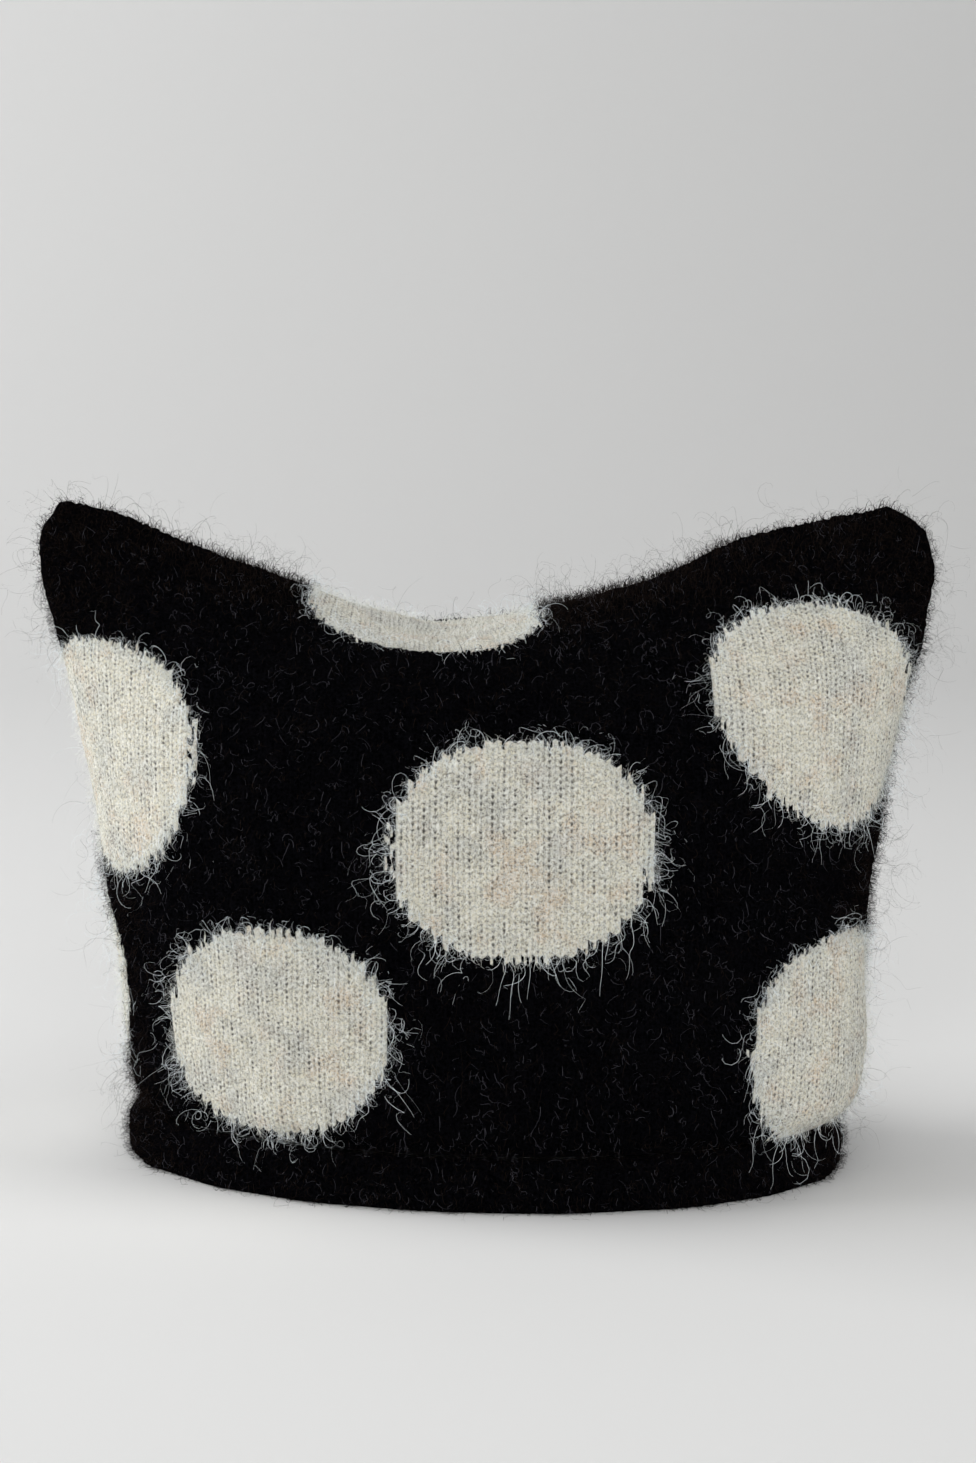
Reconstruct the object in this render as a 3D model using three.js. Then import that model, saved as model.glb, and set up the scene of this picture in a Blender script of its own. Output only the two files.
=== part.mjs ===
// Knitted wool beanie with two ear corners and a rolled hem, standing open on its hem.
// Millimetres, +Z up, the front faces -Y, and the origin is the middle of the resting face.
import * as THREE from "three";

// Cloth
const WALL = 3; // brushed two-colour knit, with its floats behind it
const MESH_GAP = 0.3; // air between the crown's lower edge and the hem that carries it

// Rolled hem: the lower edge turned up once, so that it is about twice the knit's thickness
const HEM_HEIGHT = 14.5;
const HEM_HALF_WIDTH = 100; // to the middle of the roll
const HEM_HALF_DEPTH = 62.8;
const HEM_SHIFT = -0.7; // the roll sits a little to the left under the crown
const HEM_SKEW = -0.085; // the hat was put down a little turned, with its right end nearer
const SKEW_ENDS = 0.35; // share of the crown's cloth above which it isn't turned any more

// The roll's section as it is gone round once, from the outer edge of its flat underside
const HEM_PROFILE = [
  { out: 2.2, height: 0 },
  { out: 3.1, height: 1.4 },
  { out: 3.5, height: 4.5 },
  { out: 3.5, height: 8.5 },
  { out: 3.0, height: 12 },
  { out: 2.0, height: HEM_HEIGHT },
  { out: -2.0, height: HEM_HEIGHT },
  { out: -2.8, height: 11.5 },
  { out: -2.9, height: 5 },
  { out: -2.2, height: 0 },
];

// Crown: one row for each section of the cloth, from the crease above the hem to the fold
// on top. share is the height along the cloth. left and right are half-widths, side and
// middle are the section's heights at its two ends and at its middle, deep is half its
// thickness from front to back, and point is 1 for an ellipse and more for ends that taper.
const CREASE = HEM_HEIGHT + MESH_GAP;
const FOLD_HEIGHT = 153;
const EAR_HEIGHT = 193;
const CROWN_SECTIONS = [
  { share: 0, left: 101.5, right: 103.5, side: CREASE, middle: CREASE, deep: 62.6, point: 1 },
  { share: 0.03, left: 103, right: 107.4, side: 20.5, middle: 20.5, deep: 64.8, point: 1 },
  { share: 0.136, left: 105.2, right: 109.7, side: 40.5, middle: 40.5, deep: 67.2, point: 1 },
  { share: 0.294, left: 107.5, right: 109.8, side: 70, middle: 70.5, deep: 69.6, point: 1 },
  { share: 0.452, left: 111.6, right: 112.2, side: 99.5, middle: 101, deep: 69, point: 1.03 },
  { share: 0.586, left: 115.8, right: 116.4, side: 124.5, middle: 126, deep: 64, point: 1.08 },
  { share: 0.692, left: 120, right: 121, side: 143.5, middle: 142.5, deep: 55.5, point: 1.16 },
  { share: 0.777, left: 123.4, right: 124.6, side: 157.5, middle: 150.5, deep: 44.5, point: 1.25 },
  { share: 0.868, left: 126.8, right: 127.2, side: 171, middle: 153.5, deep: 29, point: 1.35 },
  { share: 0.935, left: 127.9, right: 126.8, side: 181.5, middle: 154, deep: 16, point: 1.4 },
  { share: 0.972, left: 126.2, right: 123.8, side: 187.5, middle: 153.8, deep: 8.5, point: 1.4 },
  { share: 1, left: 122, right: 116.5, side: EAR_HEIGHT, middle: FOLD_HEIGHT, deep: 0, point: 1.4 },
];

// The fold's line between the ears: rise is 0 at the lowest place and 1 at an ear.
const FOLD_LINE = [
  { across: -130, rise: 1 },
  { across: -111, rise: 0.93 },
  { across: -84, rise: 0.66 },
  { across: -52, rise: 0.37 },
  { across: -28, rise: 0.13 },
  { across: -12, rise: 0 },
  { across: 14, rise: 0.17 },
  { across: 42, rise: 0.36 },
  { across: 58, rise: 0.52 },
  { across: 73, rise: 0.7 },
  { across: 98, rise: 0.85 },
  { across: 130, rise: 1 },
];
const LOWER_SAG = 2.2; // how sharply a section below the fold turns up at its two ends
const FOLD_REACH = 0.55; // share of the cloth's height where the fold's line starts to tell

// Soft dents, pushed in from the front (face -1) or from the back (face 1)
const DENTS = [
  { face: -1, across: 55, height: 140, reach: 9, rise: 17, depth: 3 },
  { face: -1, across: -48, height: 128, reach: 26, rise: 20, depth: 1.8 },
  { face: -1, across: 84, height: 60, reach: 18, rise: 30, depth: 1.6 },
  { face: 1, across: -38, height: 118, reach: 14, rise: 24, depth: 3.2 },
  { face: 1, across: 62, height: 72, reach: 20, rise: 26, depth: 2.4 },
  { face: 1, across: 20, height: 138, reach: 24, rise: 14, depth: 2 },
];

// The hollow ends a little below the fold and short of the ears, where the two walls meet.
const HOLLOW_TOP = 0.955; // share of the cloth's height
const HOLLOW_CORNER = 5; // extra inset at the hollow's two upper corners
const HOLLOW_CLOSES = 0.75; // share of the hollow's height where its two walls start to meet
const CEILING_STARTS = 0.4; // shares between which the hollow comes down by the wall
const CEILING_ENDS = 0.8;
const DEEPEST_DENT = 0.5; // share of the half-thickness that a dent may take

// Facets
const AROUND = 76; // steps round the hat, half of them on each face
const OUTSIDE_ROWS = 24;
const INSIDE_ROWS = 15;
const ROWS_TO_TOP = 1.35; // above 1 the rows lie closer towards the fold

const smooth = (from, to, value) => THREE.MathUtils.smoothstep(value, from, to);

// The slope of a table's column at row i, from the rows on both sides of it
function slope(rows, key, column, i) {
  const before = rows[Math.max(i - 1, 0)];
  const after = rows[Math.min(i + 1, rows.length - 1)];
  return (after[column] - before[column]) / (after[key] - before[key]);
}

// A smooth curve through one column of a table
function read(rows, key, column, value) {
  let i = rows.findLastIndex((row) => row[key] <= value);
  i = THREE.MathUtils.clamp(i, 0, rows.length - 2);
  const span = rows[i + 1][key] - rows[i][key];
  const t = (value - rows[i][key]) / span;
  const start = rows[i][column];
  const end = rows[i + 1][column];
  const leaving = slope(rows, key, column, i) * span;
  const arriving = slope(rows, key, column, i + 1) * span;
  return (
    start * (1 + 2 * t) * (1 - t) ** 2 +
    leaving * t * (1 - t) ** 2 +
    end * t * t * (3 - 2 * t) +
    arriving * t * t * (t - 1)
  );
}

const section = (column, share) => read(CROWN_SECTIONS, "share", column, share);

// How far the dents push in at a place on one face
function dentDepth(face, across, height) {
  let depth = 0;
  for (const dent of DENTS) {
    const away = ((across - dent.across) / dent.reach) ** 2 + ((height - dent.height) / dent.rise) ** 2;
    if (dent.face === face) depth += dent.depth * Math.exp(-away);
  }
  return depth;
}

// A point of the cloth. turn runs from -1 at the left end through 0 in the middle to 1 at
// the right end, and face is -1 in front and 1 behind. The hollow's point is set in.
function clothPoint(share, turn, face, hollow) {
  const angle = (turn * Math.PI) / 2;
  const top = hollow ? smooth(HOLLOW_CLOSES, 1, share) : 0;
  const along = hollow ? share * HOLLOW_TOP : share;
  const inset = hollow ? WALL + HOLLOW_CORNER * top : 0;
  const halfWidth = section(turn < 0 ? "left" : "right", along) - inset;
  const across = halfWidth * Math.sin(angle);

  const flatEnd = hollow ? section("deep", HOLLOW_TOP) - WALL : 0;
  const halfDepth = section("deep", along) - (hollow ? WALL + flatEnd * top : 0);
  const lens = Math.max(halfDepth, 0) * Math.max(Math.cos(angle), 0) ** section("point", along);

  const lower = Math.abs(Math.sin(angle)) ** LOWER_SAG;
  const fold = read(FOLD_LINE, "across", "rise", across);
  const rise = THREE.MathUtils.lerp(lower, fold, smooth(FOLD_REACH, 1, along));
  const middle = section("middle", along);
  const height = middle + (section("side", along) - middle) * rise;
  const drop = hollow ? WALL * smooth(CEILING_STARTS, CEILING_ENDS, share) : 0;

  const dent = Math.min(dentDepth(face, across, height), lens * DEEPEST_DENT);
  const skew = HEM_SKEW * (1 - smooth(0, SKEW_ENDS, along));
  return [across, face * (lens - dent) + skew * across, height - drop];
}

// One wall of the crown as rings of points from the crease up to the fold, where the front
// and the back share their points. Ring step 0 is the left end, and half way is the right.
function wallRings(rows, hollow, store) {
  const half = AROUND / 2;
  const rings = [];
  for (let row = 0; row <= rows; row++) {
    const share = 1 - (1 - row / rows) ** ROWS_TO_TOP;
    const ring = [];
    for (let step = 0; step < AROUND; step++) {
      const front = step <= half;
      if (row === rows && !front) {
        ring.push(ring[AROUND - step]);
        continue;
      }
      const turn = front ? (2 * step) / half - 1 : 3 - (2 * step) / half;
      ring.push(store.length / 3);
      store.push(...clothPoint(share, turn, front ? -1 : 1, hollow));
    }
    rings.push(ring);
  }
  return rings;
}

// Adds the band of faces between two rings, with its outside on the ring's right hand.
// A face whose corners meet, as at the two ends of the fold, is left out.
function joinRings(lower, upper, faces) {
  const count = lower.length;
  for (let step = 0; step < count; step++) {
    const next = (step + 1) % count;
    const corners = [
      [lower[step], lower[next], upper[next]],
      [lower[step], upper[next], upper[step]],
    ];
    for (const [a, b, c] of corners) {
      if (a !== b && b !== c && c !== a) faces.push(a, b, c);
    }
  }
}

function meshOf(name, points, faces, material) {
  const geometry = new THREE.BufferGeometry();
  geometry.setAttribute("position", new THREE.Float32BufferAttribute(points, 3));
  geometry.setIndex(faces);
  geometry.computeVertexNormals();
  const mesh = new THREE.Mesh(geometry, material);
  mesh.name = name;
  return mesh;
}

// The hollow crown, open at its lower edge
function makeCrown(material) {
  const points = [];
  const faces = [];
  const outside = wallRings(OUTSIDE_ROWS, false, points);
  const inside = wallRings(INSIDE_ROWS, true, points);
  for (let row = 0; row < OUTSIDE_ROWS; row++) joinRings(outside[row], outside[row + 1], faces);
  for (let row = 0; row < INSIDE_ROWS; row++) joinRings(inside[row + 1], inside[row], faces);
  joinRings(inside[0], outside[0], faces);
  return meshOf("crown", points, faces, material);
}

// The rolled hem: its section carried round an ellipse
function makeHem(material) {
  const points = [];
  const faces = [];
  const rings = HEM_PROFILE.map(({ out, height }) => {
    const ring = [];
    for (let step = 0; step < AROUND; step++) {
      const angle = (2 * Math.PI * step) / AROUND - Math.PI / 2;
      const across = Math.sin(angle);
      const towards = -Math.cos(angle);
      const away = new THREE.Vector2(across / HEM_HALF_WIDTH, towards / HEM_HALF_DEPTH);
      away.normalize().multiplyScalar(out);
      const sideways = HEM_SHIFT + HEM_HALF_WIDTH * across + away.x;
      ring.push(points.length / 3);
      points.push(sideways, HEM_HALF_DEPTH * towards + away.y + HEM_SKEW * sideways, height);
    }
    return ring;
  });
  rings.forEach((ring, i) => joinRings(ring, rings[(i + 1) % rings.length], faces));
  return meshOf("brim", points, faces, material);
}

const wool = new THREE.MeshStandardMaterial({ color: 0x17151c, roughness: 1, metalness: 0 });

const beanie = new THREE.Group();
beanie.name = "beanie";
beanie.add(makeCrown(wool));
beanie.add(makeHem(wool.clone()));

export default beanie;
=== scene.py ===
"""Look of a brushed wool knit beanie: a dotted crown with two ear corners, and a rolled hem.

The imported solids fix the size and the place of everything. Here the cloth is knitted again
around them stitch by stitch, and its loose fibres grow from that cloth.
"""

import logging
import math
from dataclasses import dataclass, fields
from enum import Enum
from typing import Any

import bpy
import numpy as np
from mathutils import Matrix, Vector


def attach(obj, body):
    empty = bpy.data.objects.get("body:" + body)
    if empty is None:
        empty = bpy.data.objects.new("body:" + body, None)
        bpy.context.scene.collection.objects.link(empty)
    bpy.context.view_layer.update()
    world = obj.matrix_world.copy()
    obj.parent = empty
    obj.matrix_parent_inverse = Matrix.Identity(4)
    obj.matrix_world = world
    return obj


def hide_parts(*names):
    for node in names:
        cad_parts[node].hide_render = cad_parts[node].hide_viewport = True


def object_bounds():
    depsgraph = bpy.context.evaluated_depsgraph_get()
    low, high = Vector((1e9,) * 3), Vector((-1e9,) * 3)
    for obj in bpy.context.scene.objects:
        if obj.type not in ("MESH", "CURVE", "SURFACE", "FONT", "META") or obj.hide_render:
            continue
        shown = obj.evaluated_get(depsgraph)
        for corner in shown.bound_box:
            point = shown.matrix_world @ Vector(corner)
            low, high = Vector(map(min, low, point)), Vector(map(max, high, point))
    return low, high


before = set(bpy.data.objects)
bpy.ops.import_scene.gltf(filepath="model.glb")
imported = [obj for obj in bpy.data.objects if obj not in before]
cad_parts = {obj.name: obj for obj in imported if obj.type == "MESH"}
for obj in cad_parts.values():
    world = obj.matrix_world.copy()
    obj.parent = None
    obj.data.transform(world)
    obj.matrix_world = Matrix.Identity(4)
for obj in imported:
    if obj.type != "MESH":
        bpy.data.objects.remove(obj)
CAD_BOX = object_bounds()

MM = 0.001
ROOM = 0.012
FLOOR_GAP = 0.1 * MM
DOT_RADIUS = 33
BODY = "root"
LOG = logging.getLogger("beanie")

# Distances from a dot's edge: on the hem, past every dot, and where no fibre grows
HEM_RIM = 100.0
FAR_OFF = 1000.0
BARE = -2000.0


# Cloth tables, in millimetres


@dataclass(frozen=True)
class Section:
    """One section of the crown's cloth, at a share of its height from crease to fold."""

    share: float
    left: float
    right: float
    side_height: float
    middle_height: float
    half_depth: float
    point: float


@dataclass(frozen=True)
class FoldPoint:
    """A place on the fold between the ears: 0 is its lowest rise and 1 an ear's."""

    across: float
    rise: float


@dataclass(frozen=True)
class Dent:
    """A soft dent, pushed in from the front (face -1) or from the back (face 1)."""

    face: int
    across: float
    height: float
    reach: float
    rise: float
    depth: float


@dataclass(frozen=True)
class HemPoint:
    """A point of the rolled hem's section, out from the middle line of the roll."""

    out: float
    height: float


@dataclass(frozen=True)
class Dot:
    """A knitted dot: its centre in wales from the middle of the front, and in courses.

    lean is how many wales the dot shifts to the left for each course up.
    """

    wale: float
    course: float
    half_wales: float = 11.6
    half_courses: float = 15.8
    squareness: float = 2.2
    lean: float = 0.0


HEM_HEIGHT = 14.5
HEM_HALF_WIDTH = 100.0
HEM_HALF_DEPTH = 62.8
HEM_SHIFT = -0.7
HEM_SKEW = -0.085
SKEW_ENDS = 0.35
CREASE = 14.8

SECTIONS = (
    Section(0.000, 101.5, 103.5, CREASE, CREASE, 62.6, 1.00),
    Section(0.030, 103.0, 107.4, 20.5, 20.5, 64.8, 1.00),
    Section(0.136, 105.2, 109.7, 40.5, 40.5, 67.2, 1.00),
    Section(0.294, 107.5, 109.8, 70.0, 70.5, 69.6, 1.00),
    Section(0.452, 111.6, 112.2, 99.5, 101.0, 69.0, 1.03),
    Section(0.586, 115.8, 116.4, 124.5, 126.0, 64.0, 1.08),
    Section(0.692, 120.0, 121.0, 143.5, 142.5, 55.5, 1.16),
    Section(0.777, 123.4, 124.6, 157.5, 150.5, 44.5, 1.25),
    Section(0.868, 126.8, 127.2, 171.0, 153.5, 29.0, 1.35),
    Section(0.935, 127.9, 126.8, 181.5, 154.0, 16.0, 1.40),
    Section(0.972, 126.2, 123.8, 187.5, 153.8, 8.5, 1.40),
    Section(1.000, 122.0, 116.5, 193.0, 153.0, 0.0, 1.40),
)

FOLD_LINE = (
    FoldPoint(-130, 1.00),
    FoldPoint(-111, 0.93),
    FoldPoint(-84, 0.66),
    FoldPoint(-52, 0.37),
    FoldPoint(-28, 0.13),
    FoldPoint(-12, 0.00),
    FoldPoint(14, 0.17),
    FoldPoint(42, 0.36),
    FoldPoint(58, 0.52),
    FoldPoint(73, 0.70),
    FoldPoint(98, 0.85),
    FoldPoint(130, 1.00),
)
LOWER_SAG = 2.2
FOLD_REACH = 0.55

DENTS = (
    Dent(-1, 55, 140, 9, 17, 3.0),
    Dent(-1, -48, 128, 26, 20, 1.8),
    Dent(-1, 84, 60, 18, 30, 1.6),
    Dent(1, -38, 118, 14, 24, 3.2),
    Dent(1, 62, 72, 20, 26, 2.4),
    Dent(1, 20, 138, 24, 14, 2.0),
)

HEM_PROFILE = (
    HemPoint(2.2, 0.0),
    HemPoint(3.1, 1.4),
    HemPoint(3.5, 4.5),
    HemPoint(3.5, 8.5),
    HemPoint(3.0, 12.0),
    HemPoint(2.0, HEM_HEIGHT),
    HemPoint(-2.0, HEM_HEIGHT),
    HemPoint(-2.8, 11.5),
    HemPoint(-2.9, 5.0),
    HemPoint(-2.2, 0.0),
)

DOTS = (
    Dot(3.2, 46.2, 11.75, 15.7),
    Dot(-20.5, 17.7, 11.55, 15.95, 2.25, -0.05),
    Dot(32.8, 65.9, 11.6, 19.2, 1.95, 0.16),
    Dot(36.9, 14.4, 11.3, 15.5, 2.3),
    Dot(-38.9, 57.6, 11.5, 18.4, 2.1, -0.04),
    Dot(-5.8, 98.0, 12.2, 15.2),
    Dot(72.0, 16.0),
    Dot(64.0, 58.0),
    Dot(94.0, 49.0),
    Dot(102.5, 9.5),
    Dot(132.5, 21.0),
    Dot(118.0, 74.0),
)


def column(rows: tuple, name: str) -> np.ndarray:
    """Returns one named column of a table of rows."""
    return np.array([getattr(row, name) for row in rows], dtype=float)


def curve_through(keys: np.ndarray, values: np.ndarray, at: np.ndarray) -> np.ndarray:
    """Reads a smooth curve that passes through a table's values.

    Args:
        keys: The table's rising keys.
        values: The value at each key.
        at: Where to read the curve.

    Returns:
        The curve's values, in the shape of at.
    """
    slopes = np.gradient(values, keys)
    slopes[1:-1] = (values[2:] - values[:-2]) / (keys[2:] - keys[:-2])
    i = np.clip(np.searchsorted(keys, at, side="right") - 1, 0, len(keys) - 2)
    span = keys[i + 1] - keys[i]
    t = (at - keys[i]) / span
    return (
        values[i] * (1 + 2 * t) * (1 - t) ** 2
        + slopes[i] * span * t * (1 - t) ** 2
        + values[i + 1] * t * t * (3 - 2 * t)
        + slopes[i + 1] * span * t * t * (t - 1)
    )


def smooth_step(start: float, end: float, value: np.ndarray) -> np.ndarray:
    """Returns a smooth ramp from 0 at start to 1 at end."""
    t = np.clip((value - start) / (end - start), 0, 1)
    return t * t * (3 - 2 * t)


def unit(vectors: np.ndarray) -> np.ndarray:
    """Returns the vectors at length 1."""
    return vectors / np.maximum(np.linalg.norm(vectors, axis=-1, keepdims=True), 1e-12)


@dataclass(frozen=True)
class CrownForm:
    """The crown's outer and inner form, as the part's own tables give it."""

    wall: float = 3.0
    hollow_top: float = 0.955
    hollow_corner: float = 5.0

    def section(self, name: str, share: np.ndarray) -> np.ndarray:
        """Returns a column of the section table at some shares of the cloth's height."""
        return curve_through(column(SECTIONS, "share"), column(SECTIONS, name), share)

    def points(self, share: np.ndarray, turn: np.ndarray, face: int, hollow: bool) -> np.ndarray:
        """Finds points of the cloth.

        Args:
            share: Share of the cloth's height from the crease to the fold.
            turn: From -1 at the left end through 0 in the middle to 1 at the right end.
            face: -1 in front and 1 behind.
            hollow: Whether the points are on the inside.

        Returns:
            The points in millimetres, with a last axis of three.
        """
        share, turn = np.broadcast_arrays(share, turn)
        angle = turn * math.pi / 2
        top = smooth_step(0.75, 1, share) if hollow else 0.0
        along = share * self.hollow_top if hollow else share
        inset = self.wall + self.hollow_corner * top if hollow else 0.0
        sides = [self.section(name, along) for name in ("left", "right")]
        across = (np.where(turn < 0, *sides) - inset) * np.sin(angle)

        half_depth = self.section("half_depth", along)
        if hollow:
            end = self.section("half_depth", np.array(self.hollow_top)) - self.wall
            half_depth = half_depth - self.wall - end * top
        roundness = np.maximum(np.cos(angle), 0) ** self.section("point", along)
        lens = np.maximum(half_depth, 0) * roundness

        lower = np.abs(np.sin(angle)) ** LOWER_SAG
        fold = curve_through(column(FOLD_LINE, "across"), column(FOLD_LINE, "rise"), across)
        blend = smooth_step(FOLD_REACH, 1, along)
        middle = self.section("middle_height", along)
        rise = lower + (fold - lower) * blend
        height = middle + (self.section("side_height", along) - middle) * rise
        drop = self.wall * smooth_step(0.4, 0.8, share) if hollow else 0.0

        dent = np.zeros_like(across)
        for row in DENTS:
            if row.face != face:
                continue
            sideways, up = (across - row.across) / row.reach, (height - row.height) / row.rise
            dent += row.depth * np.exp(-(sideways**2 + up**2))
        depth = lens - np.minimum(dent, lens / 2)
        skew = HEM_SKEW * (1 - smooth_step(0, SKEW_ENDS, along))
        return np.stack([across, face * depth + skew * across, height - drop], axis=-1)

    def half_ring(self, shares: np.ndarray, face: int, steps: int, hollow: bool) -> np.ndarray:
        """Spaces points evenly along one face, from its left end to its right end.

        Args:
            shares: Share of the cloth's height for each row.
            face: -1 in front and 1 behind.
            steps: Steps from end to end.
            hollow: Whether the points are on the inside.

        Returns:
            Points in millimetres, rows by steps + 1 by three.
        """
        fine = self.points(shares[:, None], np.linspace(-1, 1, 4 * steps)[None, :], face, hollow)
        strides = np.linalg.norm(np.diff(fine, axis=1), axis=2)
        lengths = np.concatenate([np.zeros((len(shares), 1)), np.cumsum(strides, axis=1)], axis=1)
        ring = np.empty((len(shares), steps + 1, 3))
        for row, length in enumerate(lengths):
            even = np.linspace(0, length[-1], steps + 1)
            for axis in range(3):
                ring[row, :, axis] = np.interp(even, length, fine[row, :, axis])
        return ring

    def rings(self, shares: np.ndarray, steps: int, hollow: bool) -> np.ndarray:
        """Returns whole rings: along the front to the right, then back along the rear."""
        front = self.half_ring(shares, -1, steps, hollow)
        back = self.half_ring(shares, 1, steps, hollow)
        return np.concatenate([front, back[:, -2:0:-1]], axis=1)


def ripple(around: np.ndarray, up: np.ndarray, seed: int, count: int = 14) -> np.ndarray:
    """Returns soft unevenness in -1 to 1, periodic in around.

    Args:
        around: Share of the way round, from 0 to 1.
        up: Share of the cloth's height.
        seed: Fixed seed for the waves' directions and phases.
        count: Number of waves.
    """
    random = np.random.default_rng(seed)
    total = np.zeros(np.broadcast(around, up).shape)
    for _ in range(count):
        turns = random.integers(2, 22)
        rows = random.uniform(-7, 7)
        phase = random.uniform(0, 2 * math.pi)
        total += np.sin(2 * math.pi * (turns * around + rows * up) + phase)
    return total / math.sqrt(count)


# Meshes


def add_object(name: str, data: Any) -> bpy.types.Object:
    """Returns a new object with this data, in the scene."""
    item = bpy.data.objects.new(name, data)
    bpy.context.scene.collection.objects.link(item)
    return item


def mesh_piece(
    name: str,
    points: np.ndarray,
    quads: np.ndarray,
    uv: np.ndarray | None = None,
    values: dict[str, np.ndarray] | None = None,
) -> bpy.types.Object:
    """Makes a piece from points and four-cornered faces.

    Args:
        name: The piece's name.
        points: Points in metres.
        quads: Indices of each face's corners. Points that no face uses are dropped.
        uv: Stitch coordinates of the faces' corners, in the faces' order.
        values: Named values or vectors for the points.

    Returns:
        The piece, smooth shaded and in the scene.
    """
    used, corners = np.unique(quads, return_inverse=True)
    corners = corners.reshape(-1)
    mesh = bpy.data.meshes.new(name)
    mesh.vertices.add(len(used))
    mesh.vertices.foreach_set("co", points[used].astype(np.float32).ravel())
    mesh.loops.add(len(corners))
    mesh.loops.foreach_set("vertex_index", corners.astype(np.int32))
    mesh.polygons.add(len(quads))
    mesh.polygons.foreach_set("loop_start", np.arange(0, len(corners), 4, dtype=np.int32))
    mesh.update(calc_edges=True)
    mesh.polygons.foreach_set("use_smooth", np.ones(len(quads), dtype=bool))
    if uv is not None:
        layer = mesh.uv_layers.new(name="stitches")
        layer.uv.foreach_set("vector", uv.astype(np.float32).ravel())
    for label, value in (values or {}).items():
        kind = "FLOAT" if value.ndim == 1 else "FLOAT_VECTOR"
        attribute = mesh.attributes.new(label, kind, "POINT")
        key = "value" if value.ndim == 1 else "vector"
        attribute.data.foreach_set(key, value[used].astype(np.float32).ravel())
    mesh.validate()
    return add_object(name, mesh)


def grid_quads(rows: int, columns: int, closed_up: bool = False) -> np.ndarray:
    """Returns the corners of a grid's faces. The columns close on themselves.

    Args:
        rows: Rows of points.
        columns: Points in a row.
        closed_up: Whether the last row joins the first.
    """
    bands = rows if closed_up else rows - 1
    row, place = np.meshgrid(np.arange(bands), np.arange(columns), indexing="ij")
    after = (place + 1) % columns
    above = (row + 1) % rows
    lower, upper = row * columns, above * columns
    return np.stack([lower + place, lower + after, upper + after, upper + place], axis=-1)


FACE_CORNERS = ((0, 0), (0, 1), (1, 1), (1, 0))


def corner_map(corners: list) -> np.ndarray:
    """Joins the coordinates of a grid's face corners.

    Args:
        corners: Pairs of coordinate tables, one pair for each corner.

    Returns:
        Coordinates, rows by columns by four by two.
    """
    return np.stack([np.stack(corner, axis=-1) for corner in corners], axis=2)


# Node trees


class NodeSketch:
    """Adds nodes to one tree and joins them up."""

    def __init__(self, tree: bpy.types.NodeTree) -> None:
        """Keeps the tree that the nodes go to."""
        self.tree = tree

    def add(self, kind: str, inputs: dict | None = None, **settings: Any) -> bpy.types.Node:
        """Adds a node.

        Args:
            kind: The node's type name.
            inputs: Socket name or number, to a value or to another node's output.
            **settings: The node's own properties.

        Returns:
            The new node.
        """
        node = self.tree.nodes.new(kind)
        for key, value in settings.items():
            setattr(node, key, value)
        for key, value in (inputs or {}).items():
            self.feed(node.inputs[key], value)
        return node

    def feed(self, socket: bpy.types.NodeSocket, value: Any) -> None:
        """Joins an output to a socket, or sets the socket's own value."""
        if isinstance(value, bpy.types.NodeSocket):
            self.tree.links.new(value, socket)
        else:
            socket.default_value = value

    def number(self, operation: str, *values: Any) -> bpy.types.NodeSocket:
        """Returns the result of arithmetic on numbers."""
        return self.add("ShaderNodeMath", dict(enumerate(values)), operation=operation).outputs[0]

    def plus(self, first: Any, second: Any) -> bpy.types.NodeSocket:
        """Returns the sum of two numbers."""
        return self.number("ADD", first, second)

    def minus(self, first: Any, second: Any) -> bpy.types.NodeSocket:
        """Returns the first number less the second."""
        return self.number("SUBTRACT", first, second)

    def times(self, first: Any, second: Any) -> bpy.types.NodeSocket:
        """Returns the product of two numbers."""
        return self.number("MULTIPLY", first, second)

    def vector(self, operation: str, *values: Any) -> bpy.types.NodeSocket:
        """Returns the result of arithmetic on vectors."""
        node = self.add("ShaderNodeVectorMath", dict(enumerate(values)), operation=operation)
        return node.outputs["Value" if operation in ("DOT_PRODUCT", "LENGTH") else "Vector"]

    def scaled(self, vector: Any, factor: Any) -> bpy.types.NodeSocket:
        """Returns a vector times a number."""
        node = self.add("ShaderNodeVectorMath", {0: vector, "Scale": factor}, operation="SCALE")
        return node.outputs["Vector"]

    def ramp(self, value: Any, low: Any, high: Any, out_low: Any = 0.0, out_high: Any = 1.0) -> Any:
        """Returns a number carried smoothly from one range to another, held at its ends."""
        inputs = {"Value": value, 1: low, 2: high, 3: out_low, 4: out_high}
        node = self.add("ShaderNodeMapRange", inputs, interpolation_type="SMOOTHSTEP", clamp=True)
        return node.outputs["Result"]

    def mix(self, factor: Any, first: Any, second: Any) -> bpy.types.NodeSocket:
        """Returns a blend of two colours."""
        node = self.add("ShaderNodeMix", data_type="RGBA")
        colours = [socket for socket in node.inputs if socket.type == "RGBA"]
        self.feed(node.inputs[0], factor)
        self.feed(colours[0], first)
        self.feed(colours[1], second)
        return [socket for socket in node.outputs if socket.type == "RGBA"][0]


def colour(red: float, green: float, blue: float) -> tuple[float, float, float, float]:
    """Returns a linear colour with full opacity."""
    return (red, green, blue, 1.0)


def plain_finish(name: str, tint: tuple, roughness: float, gloss: float) -> bpy.types.Material:
    """Returns a material of one plain colour."""
    material = bpy.data.materials.new(name)
    material.use_nodes = True
    shader = material.node_tree.nodes["Principled BSDF"]
    shader.inputs["Base Color"].default_value = tint
    shader.inputs["Roughness"].default_value = roughness
    shader.inputs["Specular IOR Level"].default_value = gloss
    return material


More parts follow.
